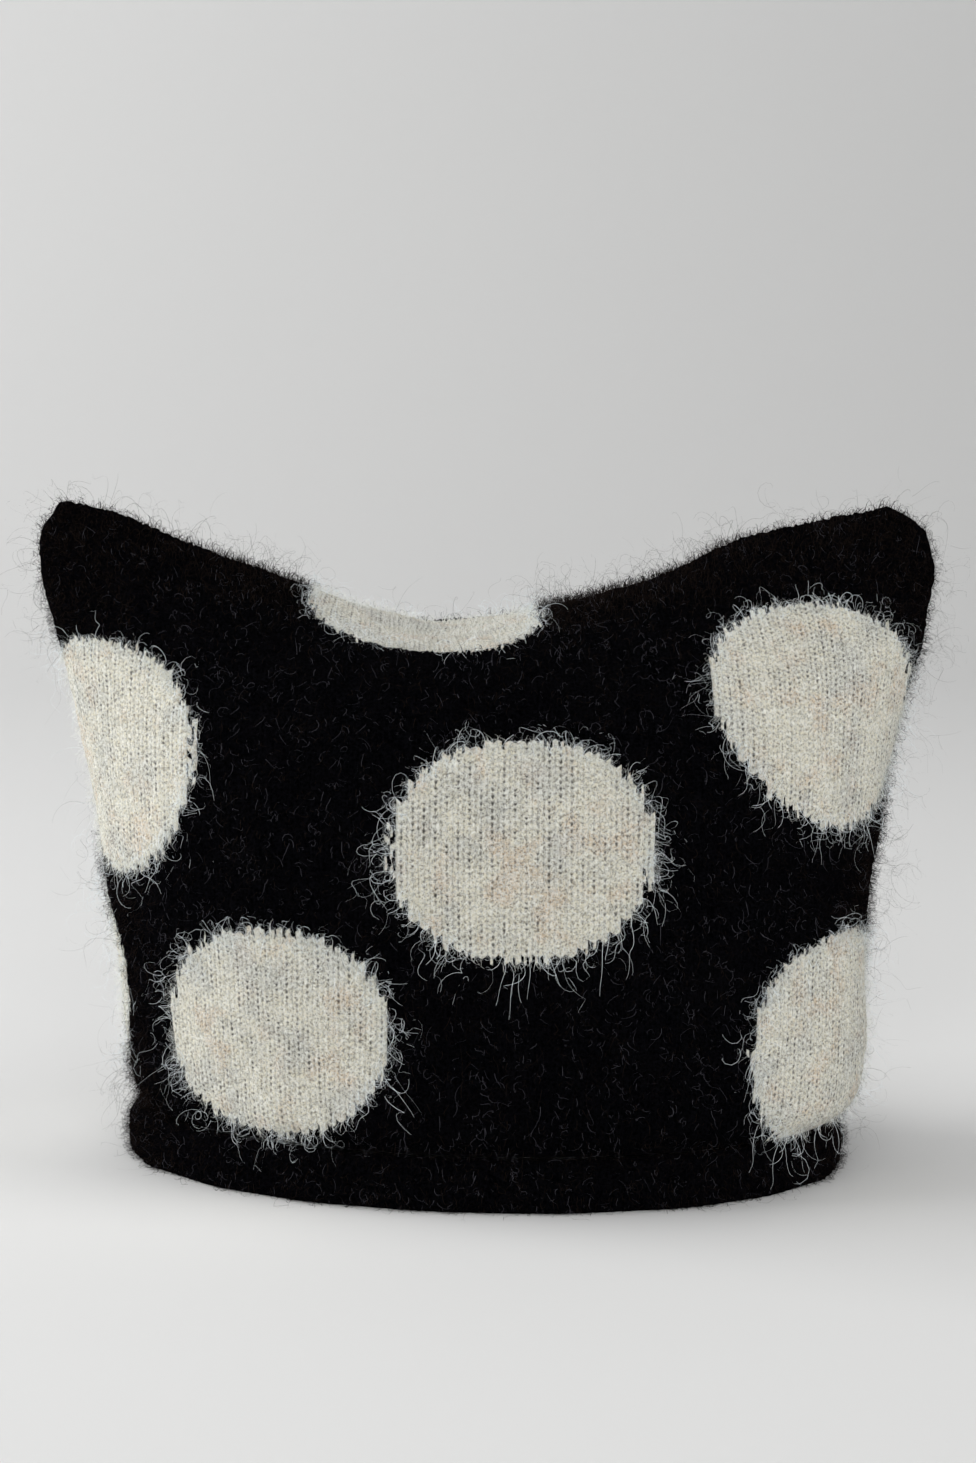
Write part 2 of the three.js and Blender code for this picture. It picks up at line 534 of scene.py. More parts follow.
class ShaderGroups:
    """Effects that more than one wool uses, each built once as a node group."""

    def __init__(self) -> None:
        """Builds the groups."""
        self.stitches = self._stitches()
        self.felt = self._felt()

    def _group(self, name: str, source: str, results: tuple) -> bpy.types.NodeTree:
        """Returns an empty node group that turns one vector into some numbers."""
        tree = bpy.data.node_groups.new(name, "ShaderNodeTree")
        tree.interface.new_socket(source, in_out="INPUT", socket_type="NodeSocketVector")
        for result in results:
            tree.interface.new_socket(result, in_out="OUTPUT", socket_type="NodeSocketFloat")
        return tree

    def _stitches(self) -> bpy.types.NodeTree:
        """Builds the knit's V stitches from stitch coordinates: height, a mask of painted shade in the
        holes, and chance.
        """
        tree = self._group("knit_stitches", "Stitches", ("Height", "Hole", "Chance"))
        sketch = NodeSketch(tree)
        source = sketch.add("NodeGroupInput").outputs["Stitches"]
        parts = sketch.add("ShaderNodeSeparateXYZ", {0: source})
        wale = sketch.number("FRACT", parts.outputs["X"])
        lean = sketch.number("ABSOLUTE", sketch.minus(wale, 0.5))
        course = sketch.minus(parts.outputs["Y"], lean)
        phase = sketch.number("FRACT", sketch.plus(course, 100.0))
        wave = sketch.number("SINE", sketch.times(wale, 2 * math.pi))
        leg = sketch.number("ABSOLUTE", wave)
        bead = sketch.number("SINE", sketch.times(phase, math.pi))
        round_leg = sketch.number("POWER", leg, 0.6)
        height = sketch.times(round_leg, sketch.number("POWER", bead, 0.5))

        off_joint = sketch.number("ABSOLUTE", sketch.minus(phase, 0.5))
        joint = sketch.minus(0.5, off_joint)
        # The mask of painted shade in the holes: full in a stitch's middle, weaker between wales
        middle = self._hole(sketch, lean, joint)
        between = self._hole(sketch, sketch.minus(0.5, lean), joint)
        hole_shade = sketch.number("MAXIMUM", middle, sketch.times(between, 0.45))
        places = {0: sketch.number("FLOOR", parts.outputs["X"]), 1: sketch.number("FLOOR", course)}
        cell = sketch.add("ShaderNodeCombineXYZ", places).outputs[0]
        chance = sketch.add("ShaderNodeTexWhiteNoise", {"Vector": cell}, noise_dimensions="2D")
        results = {"Height": height, "Hole": hole_shade, "Chance": chance.outputs["Value"]}
        sketch.add("NodeGroupOutput", results)
        return tree

    def _hole(self, sketch: NodeSketch, side: Any, joint: Any) -> bpy.types.NodeSocket:
        """Returns a small upright spot of painted shade, at the hole by a stitch's joint.

        Args:
            sketch: The tree that the hole goes into.
            side: Distance from the hole's middle in wales.
            joint: Distance from it in courses.
        """
        wide = sketch.times(side, 5.0)
        tall = sketch.times(joint, 2.1)
        spread = sketch.add("ShaderNodeCombineXYZ", {0: wide, 1: tall}).outputs[0]
        return sketch.ramp(sketch.vector("LENGTH", spread), 0.25, 1.0, 1.0, 0.0)

    def _felt(self) -> bpy.types.NodeTree:
        """Builds the felted fibres: crossing streaks, fine grain, and larger soft patches."""
        tree = self._group("felted_fibres", "Position", ("Streaks", "Grain", "Patches", "Clouds"))
        sketch = NodeSketch(tree)
        position = sketch.add("NodeGroupInput").outputs["Position"]
        bent = sketch.add("ShaderNodeTexNoise", {"Vector": position, "Scale": 420.0, "Detail": 1.0})
        twisted = sketch.vector("ADD", position, sketch.scaled(bent.outputs["Color"], 0.002))
        streaks: bpy.types.NodeSocket | None = None
        for stretch, shift in (((1.0, 1.0, 0.2), 0.0), ((0.25, 0.6, 1.0), 3.7), ((0.6, 0.5, 0.6), 9.1)):
            moved = sketch.vector("MULTIPLY", sketch.vector("ADD", twisted, (shift, shift, shift)), stretch)
            noise = sketch.add("ShaderNodeTexNoise", {"Vector": moved, "Scale": 1100.0, "Detail": 1.0})
            ridge = sketch.number("ABSOLUTE", sketch.minus(noise.outputs["Fac"], 0.5))
            line = sketch.ramp(ridge, 0.0, 0.05, 1.0, 0.0)
            streaks = line if streaks is None else sketch.number("MAXIMUM", streaks, line)
        grain = sketch.add("ShaderNodeTexNoise", {"Vector": position, "Scale": 1500.0, "Detail": 2.0})
        patches = sketch.add("ShaderNodeTexNoise", {"Vector": position, "Scale": 110.0, "Detail": 3.0})
        aside = sketch.vector("ADD", position, (5.3, 2.1, 7.7))
        clouds = sketch.add("ShaderNodeTexNoise", {"Vector": aside, "Scale": 75.0, "Detail": 3.0})
        results = {"Grain": grain, "Patches": patches, "Clouds": clouds}
        results = {name: noise.outputs["Fac"] for name, noise in results.items()}
        sketch.add("NodeGroupOutput", {"Streaks": streaks, **results})
        return tree


@dataclass(frozen=True)
class KnitWool:
    """The finish of knitted, brushed wool cloth."""

    name: str
    # Dark tint: random gaps in the felted fibres, and painted shade in the furrows between wales and in the
    # stitch holes
    deep: tuple
    yarn: tuple
    lint: tuple
    warm: tuple
    cool: tuple
    lint_share: float
    gap_share: float
    # Shares of painted shade in the furrows between wales and in the stitch holes
    rib_share: float
    hole_share: float
    warm_share: float
    cool_share: float
    bump: float
    sheen: float
    gloss: float

    def make(self, groups: ShaderGroups) -> bpy.types.Material:
        """Builds the material.

        Args:
            groups: The shared node groups.

        Returns:
            A material that reads stitch coordinates and the object's own position.
        """
        material = bpy.data.materials.new(self.name)
        material.use_nodes = True
        tree = material.node_tree
        tree.nodes.clear()
        sketch = NodeSketch(tree)
        place = sketch.add("ShaderNodeTexCoord").outputs["Object"]
        stitch_map = sketch.add("ShaderNodeUVMap", uv_map="stitches").outputs["UV"]
        stitch = sketch.add("ShaderNodeGroup", {0: stitch_map}, node_tree=groups.stitches)
        felt = sketch.add("ShaderNodeGroup", {0: place}, node_tree=groups.felt)
        streaks, grain = felt.outputs["Streaks"], felt.outputs["Grain"]

        warm = sketch.ramp(felt.outputs["Patches"], 0.48, 0.66, 0.0, self.warm_share)
        body = sketch.mix(warm, self.yarn, self.warm)
        cool = sketch.ramp(felt.outputs["Clouds"], 0.47, 0.68, 0.0, self.cool_share)
        body = sketch.mix(cool, body, self.cool)
        body = sketch.mix(sketch.ramp(grain, 0.36, 0.56, self.gap_share, 0.0), body, self.deep)
        # Painted shade: darker in the furrows between wales, where the stitches sit low
        furrow_shade = sketch.ramp(stitch.outputs["Height"], 0.0, 0.6, self.rib_share, 0.0)
        body = sketch.mix(furrow_shade, body, self.deep)
        body = sketch.mix(sketch.times(streaks, self.lint_share), body, self.lint)
        # Painted shade in the stitch holes, stronger in some stitches and in cloudy patches
        chosen = sketch.ramp(stitch.outputs["Chance"], 0.15, 0.95, 0.18, self.hole_share)
        open_knit = sketch.ramp(felt.outputs["Clouds"], 0.36, 0.54, 0.3, 1.0)
        share = sketch.times(chosen, open_knit)
        hole_shade = sketch.times(stitch.outputs["Hole"], share)
        final = sketch.mix(hole_shade, body, self.deep)

        relief = sketch.times(stitch.outputs["Height"], 0.6)
        fuzz = sketch.plus(streaks, sketch.times(grain, 1.6))
        raised = sketch.plus(relief, sketch.times(fuzz, 0.4))
        inputs = {"Strength": self.bump, "Distance": 0.5 * MM, "Height": raised}
        inputs = {
            "Base Color": final,
            "Roughness": 0.92,
            "Specular IOR Level": self.gloss,
            "Sheen Weight": self.sheen,
            "Sheen Roughness": 0.55,
            "Normal": sketch.add("ShaderNodeBump", inputs).outputs["Normal"],
        }
        shader = sketch.add("ShaderNodeBsdfPrincipled", inputs)
        sketch.add("ShaderNodeOutputMaterial", {"Surface": shader.outputs[0]})
        return material


@dataclass(frozen=True)
class FibreWool:
    """The finish of loose fibres: one plain colour, because a fibre is too thin to vary."""

    name: str
    tint: tuple
    gloss: float = 0.0

    def make(self) -> bpy.types.Material:
        """Builds the material."""
        return plain_finish(self.name, self.tint, 0.8, self.gloss)


BLACK_KNIT = KnitWool(
    name="black_knit",
    # Dark tint for random fibre gaps, and for painted shade in the furrows and stitch holes
    deep=colour(0.0002, 0.0002, 0.0003),
    yarn=colour(0.0007, 0.00065, 0.001),
    lint=colour(0.006, 0.0057, 0.0074),
    warm=colour(0.002, 0.0017, 0.002),
    cool=colour(0.0008, 0.0008, 0.0012),
    lint_share=0.4,
    gap_share=0.7,
    # Shares of painted shade in the furrows and in the stitch holes
    rib_share=0.3,
    hole_share=0.8,
    warm_share=0.6,
    cool_share=0.6,
    bump=0.6,
    sheen=0.001,
    gloss=0.0,
)
CREAM_KNIT = KnitWool(
    name="cream_knit",
    # Dark tint for random fibre gaps, and for painted shade in the furrows and stitch holes
    deep=colour(0.035, 0.032, 0.028),
    yarn=colour(0.7, 0.665, 0.54),
    lint=colour(0.86, 0.87, 0.83),
    warm=colour(0.63, 0.5, 0.36),
    cool=colour(0.47, 0.475, 0.44),
    lint_share=0.6,
    gap_share=0.55,
    # Shares of painted shade in the furrows and in the stitch holes
    rib_share=0.16,
    hole_share=0.95,
    warm_share=0.75,
    cool_share=0.6,
    bump=0.7,
    sheen=0.2,
    gloss=0.1,
)


GREY_LINT = FibreWool("grey_lint", colour(0.1, 0.096, 0.112))
DARK_HALO = FibreWool("dark_halo", colour(0.011, 0.008, 0.0068))
CREAM_LINT = FibreWool("cream_lint", colour(0.82, 0.83, 0.79), gloss=0.1)
PALE_FLYAWAYS = FibreWool("pale_flyaways", colour(0.84, 0.9, 0.93), gloss=0.1)


@dataclass(frozen=True)
class FibreCoat:
    """One kind of loose fibre over a cloth, with its sizes in millimetres.

    density is how many grow on a square millimetre. lift and outward say how far a fibre
    leans off the cloth and off its dot. turning is the largest angle of its arc and loops
    the angle of the curl on that arc, in radians, and droop is a share of its length. It
    grows where the distance to the nearest dot's edge is between rim_low and rim_high.
    Along the fold and the hat's two sides, edge_gain times more fibres grow, and edge_pull
    turns them outwards.
    """

    name: str
    wool: FibreWool
    density: float
    length: float
    spread: float
    width: float
    steps: int
    lift: float
    outward: float
    turning: float
    loop: float
    loops: float
    droop: float
    seed: int
    rim_low: float = -FAR_OFF
    rim_high: float = FAR_OFF
    rim_fade: float = 1.0
    edge_gain: float = 0.0
    edge_pull: float = 0.0


class FibreTree:
    """The Geometry Nodes tree that grows loose fibres from a cloth's faces."""

    KINDS = {float: "NodeSocketFloat", int: "NodeSocketInt"}
    KEPT = {
        "root": "FLOAT_VECTOR",
        "heading": "FLOAT_VECTOR",
        "aside": "FLOAT_VECTOR",
        "strand": "FLOAT_VECTOR",
        "reach": "FLOAT",
        "turn": "FLOAT",
    }

    def __init__(self) -> None:
        """Builds the tree once. Each coat feeds it its own sizes."""
        self.tree = bpy.data.node_groups.new("loose_fibres", "GeometryNodeTree")
        face = self.tree.interface
        face.new_socket("Geometry", in_out="INPUT", socket_type="NodeSocketGeometry")
        kinds = {item.name: self.KINDS[item.type] for item in fields(FibreCoat) if item.type in self.KINDS}
        kinds["finish"] = "NodeSocketMaterial"
        self.sockets = {}
        for name, kind in kinds.items():
            self.sockets[name] = face.new_socket(name, in_out="INPUT", socket_type=kind)
        face.new_socket("Geometry", in_out="OUTPUT", socket_type="NodeSocketGeometry")
        self.sketch = NodeSketch(self.tree)
        self.source = self.sketch.add("NodeGroupInput").outputs
        loose = self._plant()
        self._spin(self._bend(loose))

    def _named(self, name: str, kind: str) -> bpy.types.NodeSocket:
        """Returns a named attribute of the geometry."""
        node = self.sketch.add("GeometryNodeInputNamedAttribute", {"Name": name}, data_type=kind)
        return [socket for socket in node.outputs if socket.enabled][0]

    def _chance(self, kind: str, low: Any, high: Any, shift: int) -> bpy.types.NodeSocket:
        """Returns a random value or vector for each point.

        Args:
            kind: The value's type.
            low: Its lower limit.
            high: Its upper limit.
            shift: What is added to the seed, so that each use has its own values.
        """
        node = self.sketch.add("FunctionNodeRandomValue", data_type=kind)
        wanted = "VECTOR" if kind == "FLOAT_VECTOR" else "VALUE"
        ends = [socket for socket in node.inputs if socket.type == wanted and socket.enabled]
        self.sketch.feed(ends[0], low)
        self.sketch.feed(ends[1], high)
        self.sketch.feed(node.inputs["Seed"], self.sketch.plus(self.source["seed"], shift))
        return [socket for socket in node.outputs if socket.enabled][0]

    def _plant(self) -> bpy.types.NodeSocket:
        """Scatters roots over the faces, and gives each its heading, bend and length."""
        sketch, source = self.sketch, self.source
        rim = self._named("rim", "FLOAT")
        rises = sketch.ramp(sketch.minus(rim, source["rim_low"]), 0.0, source["rim_fade"])
        falls = sketch.ramp(sketch.minus(source["rim_high"], rim), 0.0, source["rim_fade"])
        tufts = sketch.add("ShaderNodeTexNoise", {"Scale": 230.0, "Detail": 1.0}).outputs["Fac"]
        clumps = sketch.ramp(tufts, 0.3, 0.7, 0.45, 1.55)
        share = sketch.times(sketch.times(rises, falls), clumps)
        edge = self._named("edge", "FLOAT_VECTOR")
        more = sketch.times(sketch.vector("LENGTH", edge), source["edge_gain"])
        share = sketch.times(share, sketch.plus(more, 1.0))
        density = sketch.times(share, source["density"])
        inputs = {"Mesh": source["Geometry"], "Density": density, "Seed": source["seed"]}
        spots = sketch.add("GeometryNodeDistributePointsOnFaces", inputs, distribute_method="RANDOM")
        normal = spots.outputs["Normal"]

        chance = self._chance("FLOAT_VECTOR", (-1, -1, -1), (1, 1, 1), 0)
        off_cloth = sketch.scaled(normal, sketch.vector("DOT_PRODUCT", chance, normal))
        flat = sketch.vector("NORMALIZE", sketch.vector("SUBTRACT", chance, off_cloth))
        lift = sketch.times(source["lift"], self._chance("FLOAT", 0.3, 1.7, 1))
        raised = sketch.vector("ADD", flat, sketch.scaled(normal, lift))
        pull = sketch.scaled(self._named("outward", "FLOAT_VECTOR"), source["outward"])
        off_edge = sketch.scaled(edge, source["edge_pull"])
        pulled = sketch.vector("ADD", raised, sketch.vector("ADD", pull, off_edge))
        heading = sketch.vector("NORMALIZE", pulled)
        across = self._chance("FLOAT_VECTOR", (-1, -1, -1), (1, 1, 1), 2)
        aside = sketch.vector("NORMALIZE", sketch.vector("CROSS_PRODUCT", heading, across))
        low = sketch.minus(1.0, source["spread"])
        high = sketch.plus(1.0, source["spread"])
        size = self._chance("FLOAT", low, high, 3)
        values = {
            "root": sketch.add("GeometryNodeInputPosition").outputs[0],
            "heading": heading,
            "aside": aside,
            "strand": self._chance("FLOAT_VECTOR", (0, 0.4, 0.3), (2 * math.pi, 1.3, 1.7), 4),
            "reach": sketch.times(size, source["length"]),
            "turn": self._chance("FLOAT", 0.1, source["turning"], 5),
        }
        points = spots.outputs["Points"]
        for name, value in values.items():
            inputs = {"Geometry": points, "Name": name}
            kind = self.KEPT[name]
            kept = sketch.add("GeometryNodeStoreNamedAttribute", inputs, data_type=kind, domain="POINT")
            sketch.feed([s for s in kept.inputs if s.enabled and s.name == "Value"][0], value)
            points = kept.outputs[0]

        line = sketch.add("GeometryNodeCurvePrimitiveLine", {"End": (0.0, 0.0, MM)})
        inputs = {"Curve": line.outputs[0], "Count": source["steps"]}
        strand = sketch.add("GeometryNodeResampleCurve", inputs)
        inputs = {"Points": points, "Instance": strand.outputs[0]}
        planted = sketch.add("GeometryNodeInstanceOnPoints", inputs)
        return sketch.add("GeometryNodeRealizeInstances", {0: planted.outputs[0]}).outputs[0]

    def _bend(self, curves: bpy.types.NodeSocket) -> bpy.types.NodeSocket:
        """Bends each fibre to an arc with a curl on it, and keeps it near the hat."""
        sketch, source = self.sketch, self.source
        kept = {name: self._named(name, kind) for name, kind in self.KEPT.items()}
        share = sketch.add("GeometryNodeSplineParameter").outputs["Factor"]
        angle = sketch.times(kept["turn"], share)
        radius = sketch.number("DIVIDE", kept["reach"], kept["turn"])
        ahead = sketch.times(radius, sketch.number("SINE", angle))
        round_off = sketch.minus(1.0, sketch.number("COSINE", angle))
        sideways = sketch.times(radius, round_off)
        forward = sketch.vector("ADD", kept["root"], sketch.scaled(kept["heading"], ahead))
        arc = sketch.vector("ADD", forward, sketch.scaled(kept["aside"], sideways))

        strand = sketch.add("ShaderNodeSeparateXYZ", {0: kept["strand"]})
        start, quick, wide = strand.outputs
        curl = sketch.times(sketch.times(share, source["loops"]), quick)
        phase = sketch.plus(curl, start)
        size = sketch.times(source["loop"], wide)
        third = sketch.vector("CROSS_PRODUCT", kept["heading"], kept["aside"])
        moves = []
        for axis, operation in ((kept["heading"], "SINE"), (third, "COSINE")):
            at_start = sketch.number(operation, start)
            swing = sketch.minus(sketch.number(operation, phase), at_start)
            moves.append(sketch.scaled(axis, sketch.times(swing, size)))
        curled = sketch.vector("ADD", arc, sketch.vector("ADD", *moves))
        tip = sketch.times(share, kept["reach"])
        fall = sketch.times(sketch.times(share, tip), source["droop"])
        down = sketch.add("ShaderNodeCombineXYZ", {2: sketch.times(fall, -1.0)})
        moved = sketch.vector("ADD", curled, down.outputs[0])
        low, high = CAD_BOX
        above = sketch.vector("MAXIMUM", moved, (low[0] - ROOM, low[1] - ROOM, FLOOR_GAP))
        within = sketch.vector("MINIMUM", above, tuple(side + ROOM for side in high))
        bent = sketch.add("GeometryNodeSetPosition", {"Geometry": curves, "Position": within})
        return bent.outputs[0]

    def _spin(self, curves: bpy.types.NodeSocket) -> None:
        """Gives the fibres their thickness and finish, thinner towards their tips."""
        sketch, source = self.sketch, self.source
        share = sketch.add("GeometryNodeSplineParameter").outputs["Factor"]
        thin = sketch.ramp(share, 0.2, 1.0, 1.0, 0.45)
        half = sketch.times(source["width"], 0.5)
        left = sketch.add("ShaderNodeCombineXYZ", {0: sketch.times(half, -1.0)})
        right = sketch.add("ShaderNodeCombineXYZ", {0: half})
        inputs = {"Start": left.outputs[0], "End": right.outputs[0]}
        ribbon = sketch.add("GeometryNodeCurvePrimitiveLine", inputs)
        inputs = {"Curve": curves, "Profile Curve": ribbon.outputs[0], "Scale": thin}
        body = sketch.add("GeometryNodeCurveToMesh", inputs)
        whole = sketch.add("GeometryNodeRealizeInstances", {0: body.outputs[0]})
        inputs = {"Geometry": whole.outputs[0], "Material": source["finish"]}
        finish = sketch.add("GeometryNodeSetMaterial", inputs)
        sketch.add("NodeGroupOutput", {0: finish.outputs[0]})

    def grow(
        self, cloth: bpy.types.Object, coat: FibreCoat, finish: bpy.types.Material
    ) -> bpy.types.Object:
        """Grows one coat of fibres from a cloth.

        Args:
            cloth: The piece that the fibres grow from.
            coat: The kind of fibre.
            finish: The fibres' material.

        Returns:
            A plain mesh piece of fibres.
        """
        host = add_object(coat.name + "_host", cloth.data)
        modifier = host.modifiers.new("fibres", "NODES")
        modifier.node_group = self.tree
        values = {name: getattr(coat, name) for name in self.sockets if name != "finish"}
        values["finish"] = finish
        values["density"] /= MM**2
        for name in ("length", "width", "loop"):
            values[name] *= MM
        for name, value in values.items():
            modifier[self.sockets[name].identifier] = value
        solved = host.evaluated_get(bpy.context.evaluated_depsgraph_get())
        mesh = bpy.data.meshes.new_from_object(solved)
        mesh.name = coat.name
        bpy.data.objects.remove(host)
        spent = (*self.KEPT, "rim", "outward", "edge")
        for name in [layer.name for layer in mesh.attributes if layer.name in spent]:
            mesh.attributes.remove(mesh.attributes[name])
        return add_object(coat.name, mesh)


class Yarn(Enum):
    """The two yarns of the cloth."""

    BLACK = "black_wool"
    CREAM = "cream_wool"


def settle(
    piece: bpy.types.Object, node: str, finish: bpy.types.Material | None = None
) -> None:
    """Parents a finished piece to the hat's body, and hides the solid that it stands for.

    Args:
        piece: The piece.
        node: The solid that it stands for.
        finish: Its material, where it has none yet.
    """
    if finish is not None:
        piece.data.materials.clear()
        piece.data.materials.append(finish)
    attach(piece, BODY)
    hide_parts(node)
    triangles = sum(len(face.vertices) - 2 for face in piece.data.polygons)
    LOG.info("%s: %d triangles", piece.name, triangles)


@dataclass
class Knitting:
    """How the yarn is knitted: its gauge and the relief of its stitches, in millimetres."""

    wales: int = 92
    courses: int = 99
    pile: float = 1.1
    tuck: float = 1.4
    relief: float = 0.2
    unevenness: float = 0.3
    stitch_chance: float = 0.16
    border: float = 0.8
    right_pile: float = 1.3
    roughness: float = 0.42
    dot_roughness: float = 0.16
    lift: tuple = (0.5, 0.25, 0.0, 0.25)
    leg: tuple = (-1.0, 0.75, -0.35, 0.75)
    end_shares: tuple = (0.7, 0.92)
    fold_courses: tuple = (84, 96)
    bulge_from: tuple = (30, 50)
    bulge_to: tuple = (86, 95)

    def pile_at(self, row: np.ndarray) -> np.ndarray:
        """Returns how far the brushed cloth stands off its wall, tucked in at the crease."""
        return self.pile * smooth_step(-1, 6, row) - self.tuck * (1 - smooth_step(0, 4, row))

    def stitch_relief(self, row: np.ndarray, place: np.ndarray, seed: int) -> np.ndarray:
        """Returns how far each point of the knit stands out.

        Args:
            row: Courses up.
            place: Quarter wales round.
            seed: Fixed seed for the stitches' differences.
        """
        random = np.random.default_rng(seed)
        chance = random.uniform(-1, 1, (int(row.max()) + 1, int(place.max()) // 4 + 1))
        return self.relief * np.array(self.leg)[place % 4] + self.stitch_chance * chance[row, place // 4]


@dataclass
class Crown:
    """The crown: black and cream cloth, its inside, and the stitches of its dots."""

    form: CrownForm
    knitting: Knitting

    def build(self) -> dict[str, bpy.types.Object]:
        """Knits the crown.

        Returns:
            The black cloth, the cream cloth and the inside.
        """
        knit = self.knitting
        steps = 4 * knit.wales
        columns = 2 * steps
        shares = np.linspace(0, 1, 4 * knit.courses + 1)
        table = self.form.rings(shares, steps, hollow=False)
        normals, around, up = self._directions(table)

        rows = knit.courses + 1
        row = np.arange(rows)[:, None]
        place = np.arange(columns)[None, :]
        calm = np.clip(np.minimum(row, rows - 1 - row) / 2, 0, 1)
        course = row + np.array(knit.lift)[place % 4] * calm
        course = np.minimum(course, knit.courses)
        points = self._pick(table, course, place)
        normal = unit(self._pick(normals, course, place))
        across = unit(self._pick(around, course, place))
        upward = unit(self._pick(up, course, place))

        rim, pull = self._rim(place, course, across, upward)
        wave = knit.unevenness * ripple(place / columns, course / knit.courses, seed=11)
        tufts = np.random.default_rng(17).uniform(-1, 1, (rows, columns))
        tufts = tufts * np.where(rim < 0, knit.dot_roughness, knit.roughness) * np.clip(row / 2, 0, 1)
        height = (knit.stitch_relief(row, place, seed=7) + wave) * calm + tufts
        end = (2 * (place % steps) / steps - 1) * np.where(place < steps, 1, -1)
        sides = np.sign(end) * smooth_step(*knit.end_shares, np.abs(end)) * np.ones_like(course)
        edge = np.stack([sides, 0 * course, smooth_step(*knit.fold_courses, course)], axis=-1)
        bulge = smooth_step(*knit.bulge_from, row) * (1 - smooth_step(*knit.bulge_to, row))
        pile = knit.pile_at(row) + knit.right_pile * np.maximum(sides, 0) * bulge
        points = points + normal * (pile + height)[..., None]

        index = (row * columns + place).astype(int)
        top = index[-1]
        top[steps + 1 :] = top[1:steps][::-1]
        quads = index.ravel()[grid_quads(rows, columns)]
        wale_of = np.arange(columns) // 4
        middles = (wale_of + 0.5)[None, :], (np.arange(rows - 1) + 0.5)[:, None]
        stitch_rim = self._dot_field(*middles)[0]
        border = np.random.default_rng(3).uniform(-1, 1, stitch_rim.shape) * knit.border
        cream = stitch_rim + border < 0
        uv = self._stitch_coordinates(course, rows, columns)
        values = {"rim": rim.ravel(), "outward": pull.reshape(-1, 3), "edge": edge.reshape(-1, 3)}
        flat = points.reshape(-1, 3) * MM
        black = mesh_piece("crown_black_knit", flat, quads[~cream], uv[~cream], values)
        dots = mesh_piece("crown_cream_dots", flat, quads[cream], uv[cream], values)
        return {"black": black, "cream": dots, "inside": self._inside(normals)}

    def _directions(self, table: np.ndarray) -> tuple[np.ndarray, np.ndarray, np.ndarray]:
        """Returns the cloth's outward, sideways and upward directions at a table of points.

        Over the fold the outward direction turns up, square to the fold's line.
        """
        around = unit(np.roll(table, -1, axis=1) - np.roll(table, 1, axis=1))
        up = unit(np.gradient(table, axis=0))
        normals = unit(np.cross(around, up))
        fold = np.cross(around[-1], (0.0, 1.0, 0.0))
        fold[:, 2] = np.abs(fold[:, 2])
        steps = table.shape[1] // 2
        fold[0] = (-1.0, 0.0, 1.0)
        fold[steps] = (1.0, 0.0, 1.0)
        fold[steps + 1 :] = fold[1:steps][::-1]
        for back, share in enumerate((1.0, 0.9, 0.65, 0.35, 0.12), start=1):
            normals[-back] = unit(normals[-back] * (1 - share) + unit(fold) * share)
        return normals, around, up

    def _pick(self, table: np.ndarray, course: np.ndarray, place: np.ndarray) -> np.ndarray:
        """Reads a table of quarter courses at any course."""
        at = np.clip(course * 4, 0, len(table) - 1)
        lower = np.minimum(np.floor(at).astype(int), len(table) - 2)
        share = (at - lower)[..., None]
        place = np.broadcast_to(place, course.shape)
        return table[lower, place] * (1 - share) + table[lower + 1, place] * share

    def _dot_field(self, wale: np.ndarray, course: np.ndarray) -> tuple[np.ndarray, np.ndarray]:
        """Finds how far each place is from the nearest dot's edge, and which way that dot lies.

        Args:
            wale: Wales round the hat from the left end of the front.
            course: Courses up from the crease.

        Returns:
            The distance in millimetres, below 0 inside a dot, and the direction away from
            its centre in wales and courses.
        """
        knit = self.knitting
        whole = 2 * knit.wales
        wale, course = np.broadcast_arrays(wale, course)
        nearest = np.full(wale.shape, FAR_OFF)
        away = np.zeros(wale.shape + (2,))
        straight = (wale - knit.wales / 2, course)
        folded = (knit.wales - straight[0], 2 * knit.courses - course)
        for dot in DOTS:
            for turned, (sideways, up) in ((1, straight), (-1, folded)):
                rise = up - dot.course
                side = (sideways - dot.wale + dot.lean * rise + knit.wales) % whole - knit.wales
                reach = np.abs(side / dot.half_wales) ** dot.squareness
                reach = (reach + np.abs(rise / dot.half_courses) ** dot.squareness) ** (1 / dot.squareness)
                distance = (reach - 1) * DOT_RADIUS
                closer = distance < nearest
                nearest = np.where(closer, distance, nearest)
                heading = [turned * side / dot.half_wales, turned * rise / dot.half_courses]
                away = np.where(closer[..., None], np.stack(heading, axis=-1), away)
        return nearest, away

    def _rim(
        self, place: np.ndarray, course: np.ndarray, across: np.ndarray, upward: np.ndarray
    ) -> tuple[np.ndarray, np.ndarray]:
        """Returns each point's distance from a dot's edge and its direction off the dot."""
        rim, away = self._dot_field(place / 4, course)
        pull = unit(across * away[..., :1] + upward * away[..., 1:])
        return rim, pull

    def _stitch_coordinates(self, course: np.ndarray, rows: int, columns: int) -> np.ndarray:
        """Returns each face corner's place in wales and courses."""
        row, place = np.meshgrid(np.arange(rows - 1), np.arange(columns), indexing="ij")
        corners = []
        for up, side in FACE_CORNERS:
            corners.append(((place + side) / 4, course[row + up, (place + side) % columns]))
        return corner_map(corners)

